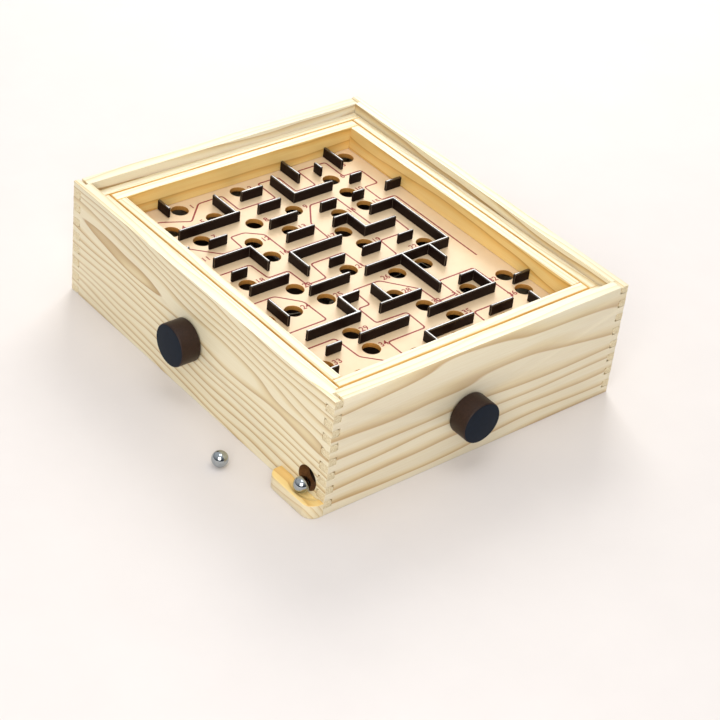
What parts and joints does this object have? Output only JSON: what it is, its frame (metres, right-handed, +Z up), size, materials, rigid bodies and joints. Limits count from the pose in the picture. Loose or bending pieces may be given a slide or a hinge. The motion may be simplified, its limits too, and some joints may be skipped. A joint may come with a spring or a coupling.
{
  "type": "tilt maze game",
  "caption": "Pine box with two nested tilting frames, a perforated maze board with raised strips, side knobs that tilt it by cord, and a catch tray.",
  "frame": {"origin": "bottom centre of the whole part's bounding box, with the knobs, the tray and the loose ball inside it", "axes": "+X runs right along the short front side, +Y runs back along the long side, +Z is up"},
  "size_m": [0.3156, 0.346, 0.1],
  "materials": {
    "pine": "clear satin pine",
    "tray_pine": "yellow satin pine",
    "fibreboard": "raw hardboard",
    "frame_beech": "clear satin light wood",
    "board_print": "satin printed board",
    "strip_black": "gloss dark brown-black",
    "knob_black": "gloss dark brown-black",
    "steel": "plain steel",
    "ball_chrome": "polished",
    "cord": "braided"
  },
  "bodies": {
    "box": {"front_wall": "pine", "back_wall": "pine", "left_wall": "pine", "right_wall": "pine", "sloping_floor": "fibreboard", "catch_tray": "tray_pine", "outer_pivot_left": "steel", "outer_pivot_right": "steel", "outer_cord": "cord", "outer_spring": "steel"},
    "outer_frame": {"outer_rail_front": "frame_beech", "outer_rail_back": "frame_beech", "outer_rail_left": "frame_beech", "outer_rail_right": "frame_beech", "inner_pivot_front": "steel", "inner_pivot_back": "steel", "outer_eye_front": "steel", "outer_eye_back": "steel", "inner_cord": "cord", "inner_spring": "steel"},
    "inner_frame": {"inner_rail_front": "frame_beech", "inner_rail_back": "frame_beech", "inner_rail_left": "frame_beech", "inner_rail_right": "frame_beech", "maze_board": "board_print", "inner_eye_left": "steel", "inner_eye_right": "steel", "maze_wall_01": "strip_black", "maze_wall_02": "strip_black", "maze_wall_03": "strip_black", "maze_wall_04": "strip_black", "maze_wall_05": "strip_black", "maze_wall_06": "strip_black", "maze_wall_07": "strip_black", "maze_wall_08": "strip_black", "maze_wall_09": "strip_black", "maze_wall_10": "strip_black", "maze_wall_11": "strip_black", "maze_wall_12": "strip_black", "maze_wall_13": "strip_black", "maze_wall_14": "strip_black", "maze_wall_15": "strip_black", "maze_wall_16": "strip_black", "maze_wall_17": "strip_black", "maze_wall_18": "strip_black", "maze_wall_19": "strip_black", "maze_wall_20": "strip_black", "maze_wall_21": "strip_black", "maze_wall_22": "strip_black", "maze_wall_23": "strip_black", "maze_wall_24": "strip_black", "maze_wall_25": "strip_black"},
    "left_drive": {"left_knob": "knob_black", "left_shaft": "steel", "left_shaft_clip": "steel"},
    "front_drive": {"front_knob": "knob_black", "front_shaft": "steel", "front_shaft_clip": "steel"},
    "tray_ball": {"steel_ball_tray": "ball_chrome"},
    "loose_ball": {"steel_ball_loose": "ball_chrome"}
  },
  "joints": [
    {"name": "outer_frame_tilt", "type": "hinge", "parent": "box", "child": "outer_frame", "pos_m": [0.01783, 0.009, 0.079], "axis": [1, 0, 0], "range_deg": [-5, 5], "deforming": ["outer_cord", "outer_spring"]},
    {"name": "inner_frame_tilt", "type": "hinge", "parent": "outer_frame", "child": "inner_frame", "pos_m": [0.01783, 0.009, 0.079], "axis": [0, 1, 0], "range_deg": [-5, 5], "deforming": ["inner_cord", "inner_spring"]},
    {"name": "left_knob_turn", "type": "hinge", "parent": "box", "child": "left_drive", "pos_m": [-0.12218, 0.0134, 0.0493], "axis": [1, 0, 0], "range_deg": [-48, 48]},
    {"name": "front_knob_turn", "type": "hinge", "parent": "box", "child": "front_drive", "pos_m": [0.00502, -0.155, 0.0423], "axis": [0, 1, 0], "range_deg": [-57.5, 57.5]},
    {"name": "tray_ball_lift", "type": "slide", "parent": "box", "child": "tray_ball", "axis": [-0.6, 0, 0.8], "range_m": [0, 0.03]},
    {"name": "loose_ball_lift", "type": "slide", "parent": "box", "child": "loose_ball", "axis": [0, 0, 1], "range_m": [0, 0.03]}
  ],
  "couplings": [
    {"joint": "left_knob_turn", "follows": "outer_frame_tilt", "ratio": 9.6},
    {"joint": "front_knob_turn", "follows": "inner_frame_tilt", "ratio": 11.5}
  ]
}
